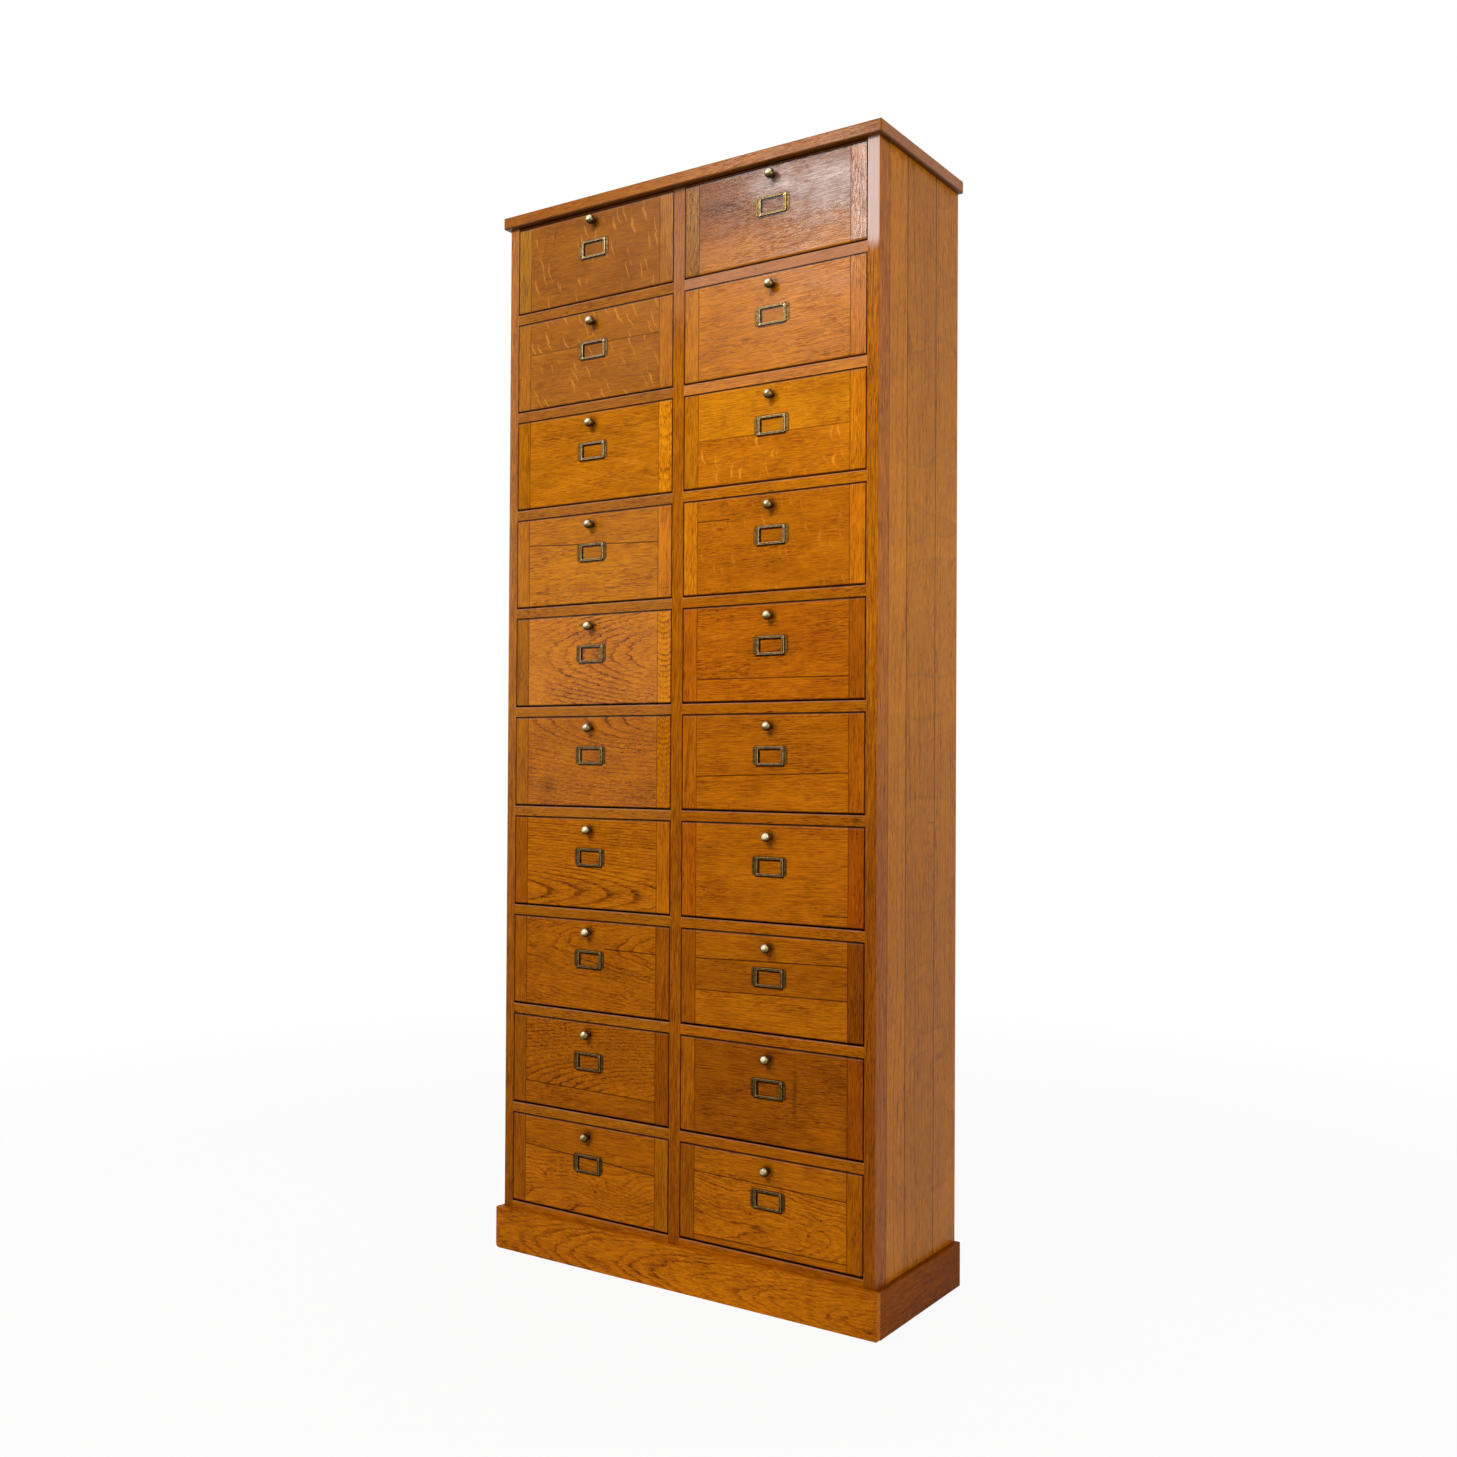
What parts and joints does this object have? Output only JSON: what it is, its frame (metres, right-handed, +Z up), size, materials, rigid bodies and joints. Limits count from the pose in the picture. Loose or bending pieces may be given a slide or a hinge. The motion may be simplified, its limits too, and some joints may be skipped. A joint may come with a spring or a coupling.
{
  "type": "filing cabinet",
  "caption": "Tall oak filing cabinet with two columns of drop-front flaps, each with a round brass knob and a label holder.",
  "frame": {"origin": "on the floor, in the middle of the whole object with its knobs", "axes": "+X to the right along the front as a user sees it, +Y from the front into the depth, +Z up"},
  "size_m": [0.914, 0.359, 2.2],
  "materials": {
    "oak_flaps": "semi-gloss varnish, honey oak",
    "oak_rails": "semi-gloss varnish",
    "oak_stiles": "semi-gloss varnish",
    "oak_sides": "worn satin varnish, browner",
    "oak_cornice": "semi-gloss varnish",
    "oak_plinth": "semi-gloss varnish, worn corners",
    "oak_inside": "bare or thinly varnished oak",
    "aged_brass": "aged, dark in the hollows",
    "brass_strikes": "dull",
    "iron_nails": "dark oxide"
  },
  "bodies": {
    "carcass": {"cornice_board": "oak_cornice", "top_panels": "oak_rails", "stile_left": "oak_stiles", "stile_right": "oak_stiles", "stile_centre": "oak_stiles", "side_boards_left": "oak_sides", "side_boards_right": "oak_sides", "partition_boards": "oak_inside", "shelves_left": "oak_rails", "shelves_right": "oak_rails", "bottom_boards": "oak_rails", "bottom_cleats": "oak_inside", "plinth_front": "oak_plinth", "plinth_left": "oak_plinth", "plinth_right": "oak_plinth", "plinth_nails": "iron_nails", "back_boards": "oak_inside", "back_nails": "iron_nails", "stop_strips": "oak_inside", "strike_plates_and_screws": "brass_strikes"},
    "flap_left_01": {"flap_left_01": "oak_flaps", "fittings_left_01": "aged_brass"},
    "flap_left_02": {"flap_left_02": "oak_flaps", "fittings_left_02": "aged_brass"},
    "flap_left_03": {"flap_left_03": "oak_flaps", "fittings_left_03": "aged_brass"},
    "flap_left_04": {"flap_left_04": "oak_flaps", "fittings_left_04": "aged_brass"},
    "flap_left_05": {"flap_left_05": "oak_flaps", "fittings_left_05": "aged_brass"},
    "flap_left_06": {"flap_left_06": "oak_flaps", "fittings_left_06": "aged_brass"},
    "flap_left_07": {"flap_left_07": "oak_flaps", "fittings_left_07": "aged_brass"},
    "flap_left_08": {"flap_left_08": "oak_flaps", "fittings_left_08": "aged_brass"},
    "flap_left_09": {"flap_left_09": "oak_flaps", "fittings_left_09": "aged_brass"},
    "flap_left_10": {"flap_left_10": "oak_flaps", "fittings_left_10": "aged_brass"},
    "flap_right_01": {"flap_right_01": "oak_flaps", "fittings_right_01": "aged_brass"},
    "flap_right_02": {"flap_right_02": "oak_flaps", "fittings_right_02": "aged_brass"},
    "flap_right_03": {"flap_right_03": "oak_flaps", "fittings_right_03": "aged_brass"},
    "flap_right_04": {"flap_right_04": "oak_flaps", "fittings_right_04": "aged_brass"},
    "flap_right_05": {"flap_right_05": "oak_flaps", "fittings_right_05": "aged_brass"},
    "flap_right_06": {"flap_right_06": "oak_flaps", "fittings_right_06": "aged_brass"},
    "flap_right_07": {"flap_right_07": "oak_flaps", "fittings_right_07": "aged_brass"},
    "flap_right_08": {"flap_right_08": "oak_flaps", "fittings_right_08": "aged_brass"},
    "flap_right_09": {"flap_right_09": "oak_flaps", "fittings_right_09": "aged_brass"},
    "flap_right_10": {"flap_right_10": "oak_flaps", "fittings_right_10": "aged_brass"}
  },
  "joints": [
    {"name": "flap_left_01_hinge", "type": "hinge", "parent": "carcass", "child": "flap_left_01", "pos_m": [-0.2175, -0.1505, 1.9956], "axis": [1, 0, 0], "range_deg": [0, 103]},
    {"name": "flap_left_02_hinge", "type": "hinge", "parent": "carcass", "child": "flap_left_02", "pos_m": [-0.2175, -0.1505, 1.7862], "axis": [1, 0, 0], "range_deg": [0, 103]},
    {"name": "flap_left_03_hinge", "type": "hinge", "parent": "carcass", "child": "flap_left_03", "pos_m": [-0.2175, -0.1505, 1.5768], "axis": [1, 0, 0], "range_deg": [0, 103]},
    {"name": "flap_left_04_hinge", "type": "hinge", "parent": "carcass", "child": "flap_left_04", "pos_m": [-0.2175, -0.1505, 1.3674], "axis": [1, 0, 0], "range_deg": [0, 103]},
    {"name": "flap_left_05_hinge", "type": "hinge", "parent": "carcass", "child": "flap_left_05", "pos_m": [-0.2175, -0.1505, 1.158], "axis": [1, 0, 0], "range_deg": [0, 103]},
    {"name": "flap_left_06_hinge", "type": "hinge", "parent": "carcass", "child": "flap_left_06", "pos_m": [-0.2175, -0.1505, 0.9486], "axis": [1, 0, 0], "range_deg": [0, 103]},
    {"name": "flap_left_07_hinge", "type": "hinge", "parent": "carcass", "child": "flap_left_07", "pos_m": [-0.2175, -0.1505, 0.7392], "axis": [1, 0, 0], "range_deg": [0, 103]},
    {"name": "flap_left_08_hinge", "type": "hinge", "parent": "carcass", "child": "flap_left_08", "pos_m": [-0.2175, -0.1505, 0.5298], "axis": [1, 0, 0], "range_deg": [0, 103]},
    {"name": "flap_left_09_hinge", "type": "hinge", "parent": "carcass", "child": "flap_left_09", "pos_m": [-0.2175, -0.1505, 0.3204], "axis": [1, 0, 0], "range_deg": [0, 103]},
    {"name": "flap_left_10_hinge", "type": "hinge", "parent": "carcass", "child": "flap_left_10", "pos_m": [-0.2175, -0.1505, 0.111], "axis": [1, 0, 0], "range_deg": [0, 103]},
    {"name": "flap_right_01_hinge", "type": "hinge", "parent": "carcass", "child": "flap_right_01", "pos_m": [0.2175, -0.1505, 1.9956], "axis": [1, 0, 0], "range_deg": [0, 103]},
    {"name": "flap_right_02_hinge", "type": "hinge", "parent": "carcass", "child": "flap_right_02", "pos_m": [0.2175, -0.1505, 1.7862], "axis": [1, 0, 0], "range_deg": [0, 103]},
    {"name": "flap_right_03_hinge", "type": "hinge", "parent": "carcass", "child": "flap_right_03", "pos_m": [0.2175, -0.1505, 1.5768], "axis": [1, 0, 0], "range_deg": [0, 103]},
    {"name": "flap_right_04_hinge", "type": "hinge", "parent": "carcass", "child": "flap_right_04", "pos_m": [0.2175, -0.1505, 1.3674], "axis": [1, 0, 0], "range_deg": [0, 103]},
    {"name": "flap_right_05_hinge", "type": "hinge", "parent": "carcass", "child": "flap_right_05", "pos_m": [0.2175, -0.1505, 1.158], "axis": [1, 0, 0], "range_deg": [0, 103]},
    {"name": "flap_right_06_hinge", "type": "hinge", "parent": "carcass", "child": "flap_right_06", "pos_m": [0.2175, -0.1505, 0.9486], "axis": [1, 0, 0], "range_deg": [0, 103]},
    {"name": "flap_right_07_hinge", "type": "hinge", "parent": "carcass", "child": "flap_right_07", "pos_m": [0.2175, -0.1505, 0.7392], "axis": [1, 0, 0], "range_deg": [0, 103]},
    {"name": "flap_right_08_hinge", "type": "hinge", "parent": "carcass", "child": "flap_right_08", "pos_m": [0.2175, -0.1505, 0.5298], "axis": [1, 0, 0], "range_deg": [0, 103]},
    {"name": "flap_right_09_hinge", "type": "hinge", "parent": "carcass", "child": "flap_right_09", "pos_m": [0.2175, -0.1505, 0.3204], "axis": [1, 0, 0], "range_deg": [0, 103]},
    {"name": "flap_right_10_hinge", "type": "hinge", "parent": "carcass", "child": "flap_right_10", "pos_m": [0.2175, -0.1505, 0.111], "axis": [1, 0, 0], "range_deg": [0, 103]}
  ]
}
